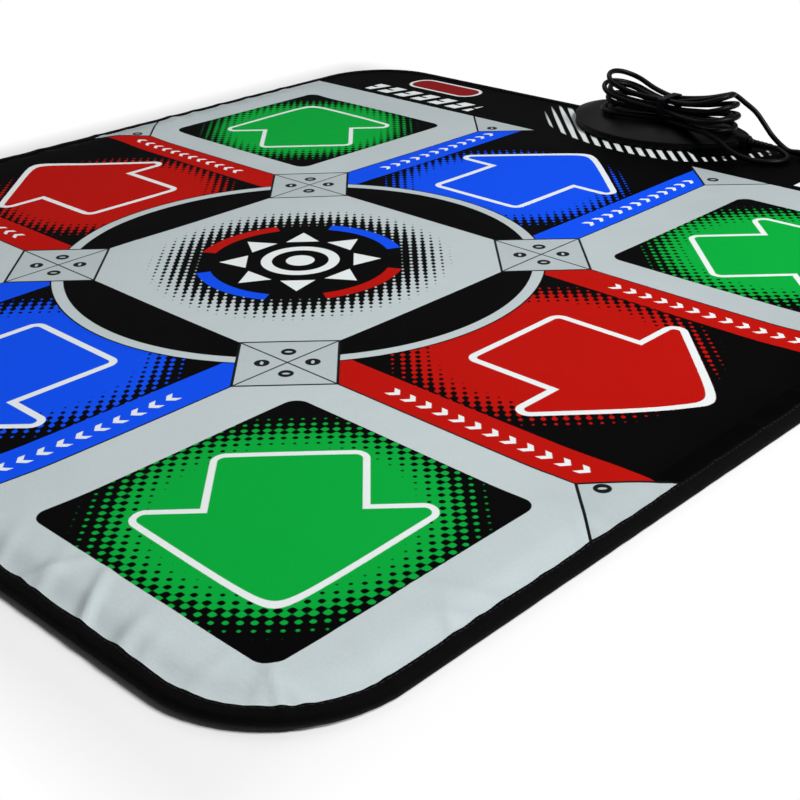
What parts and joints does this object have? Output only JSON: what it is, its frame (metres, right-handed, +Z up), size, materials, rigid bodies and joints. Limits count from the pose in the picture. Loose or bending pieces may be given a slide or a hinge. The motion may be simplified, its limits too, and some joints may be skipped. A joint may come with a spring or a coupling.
{
  "type": "dance mat controller",
  "caption": "Soft rectangular foot controller: printed step panels on a foam laminate, sewn edge binding, half-round control box and a tied hank of cord with its plug.",
  "frame": {"origin": "on the floor under the middle of the mat's rectangle", "axes": "+X to the player's right, +Y from the player to the control strip, +Z up"},
  "size_m": [0.825, 0.897, 0.061],
  "materials": {
    "printed_vinyl": "satin printed vinyl",
    "blue_panel": "satin printed vinyl",
    "red_panel": "satin printed vinyl",
    "green_panel": "satin printed vinyl",
    "button_panel": "satin printed vinyl",
    "binding_tape": "woven tape, sewn",
    "backing": "non-slip, dull",
    "foam": "open foam",
    "film": "clear film, frosted",
    "contact_ink": "printed carbon",
    "housing": "moulded, satin",
    "plate": "moulded, dull",
    "board": "green lacquer",
    "chip": "moulded, dull",
    "connector": "moulded, dull",
    "steel": "plated",
    "cord_jacket": "smooth jacket, slight sheen"
  },
  "bodies": {
    "root": {"backing_sheet": "backing", "foam_base": "foam", "lower_contact_film": "film", "spacer_foam": "foam", "upper_contact_film": "film", "top_cover": "printed_vinyl", "edge_binding": "binding_tape", "up_return_foam": "foam", "left_return_foam": "foam", "down_return_foam": "foam", "right_return_foam": "foam", "up_right_return_foam": "foam", "up_left_return_foam": "foam", "down_left_return_foam": "foam", "down_right_return_foam": "foam", "select_return_foam": "foam", "start_return_foam": "foam", "anchor_plate": "plate", "box_screw_1": "steel", "box_screw_2": "steel", "box_screw_3": "steel", "box_screw_4": "steel", "box_base": "housing", "box_cover": "housing", "circuit_board": "board", "controller_chip": "chip", "film_connector": "connector", "film_tail": "film", "strain_relief": "cord_jacket", "inner_lead": "cord_jacket", "cord_lead": "cord_jacket", "cord_hank": "cord_jacket", "cord_tail": "cord_jacket", "cord_tie": "plate", "plug_boot": "cord_jacket", "plug_body": "cord_jacket", "plug_shell": "steel", "plug_tongue": "plate"},
    "up": {"up_panel": "blue_panel", "up_contact": "contact_ink"},
    "left": {"left_panel": "red_panel", "left_contact": "contact_ink"},
    "down": {"down_panel": "blue_panel", "down_contact": "contact_ink"},
    "right": {"right_panel": "red_panel", "right_contact": "contact_ink"},
    "up_right": {"up_right_panel": "green_panel", "up_right_contact": "contact_ink"},
    "up_left": {"up_left_panel": "green_panel", "up_left_contact": "contact_ink"},
    "down_left": {"down_left_panel": "green_panel", "down_left_contact": "contact_ink"},
    "down_right": {"down_right_panel": "green_panel", "down_right_contact": "contact_ink"},
    "select": {"select_panel": "button_panel", "select_contact": "contact_ink"},
    "start": {"start_panel": "button_panel", "start_contact": "contact_ink"}
  },
  "joints": [
    {"name": "up_press", "type": "slide", "parent": "root", "child": "up", "axis": [0, 0, -1], "range_m": [0, 0.0018], "stiffness_N_per_m": 3000, "springref_m": -0.0005, "deforming": ["up_return_foam"]},
    {"name": "left_press", "type": "slide", "parent": "root", "child": "left", "axis": [0, 0, -1], "range_m": [0, 0.0018], "stiffness_N_per_m": 3000, "springref_m": -0.0005, "deforming": ["left_return_foam"]},
    {"name": "down_press", "type": "slide", "parent": "root", "child": "down", "axis": [0, 0, -1], "range_m": [0, 0.0018], "stiffness_N_per_m": 3000, "springref_m": -0.0005, "deforming": ["down_return_foam"]},
    {"name": "right_press", "type": "slide", "parent": "root", "child": "right", "axis": [0, 0, -1], "range_m": [0, 0.0018], "stiffness_N_per_m": 3000, "springref_m": -0.0005, "deforming": ["right_return_foam"]},
    {"name": "up_right_press", "type": "slide", "parent": "root", "child": "up_right", "axis": [0, 0, -1], "range_m": [0, 0.0018], "stiffness_N_per_m": 3000, "springref_m": -0.0005, "deforming": ["up_right_return_foam"]},
    {"name": "up_left_press", "type": "slide", "parent": "root", "child": "up_left", "axis": [0, 0, -1], "range_m": [0, 0.0018], "stiffness_N_per_m": 3000, "springref_m": -0.0005, "deforming": ["up_left_return_foam"]},
    {"name": "down_left_press", "type": "slide", "parent": "root", "child": "down_left", "axis": [0, 0, -1], "range_m": [0, 0.0018], "stiffness_N_per_m": 3000, "springref_m": -0.0005, "deforming": ["down_left_return_foam"]},
    {"name": "down_right_press", "type": "slide", "parent": "root", "child": "down_right", "axis": [0, 0, -1], "range_m": [0, 0.0018], "stiffness_N_per_m": 3000, "springref_m": -0.0005, "deforming": ["down_right_return_foam"]},
    {"name": "select_press", "type": "slide", "parent": "root", "child": "select", "axis": [0, 0, -1], "range_m": [0, 0.0018], "stiffness_N_per_m": 1000, "springref_m": -0.0005, "deforming": ["select_return_foam"]},
    {"name": "start_press", "type": "slide", "parent": "root", "child": "start", "axis": [0, 0, -1], "range_m": [0, 0.0018], "stiffness_N_per_m": 1000, "springref_m": -0.0005, "deforming": ["start_return_foam"]}
  ]
}
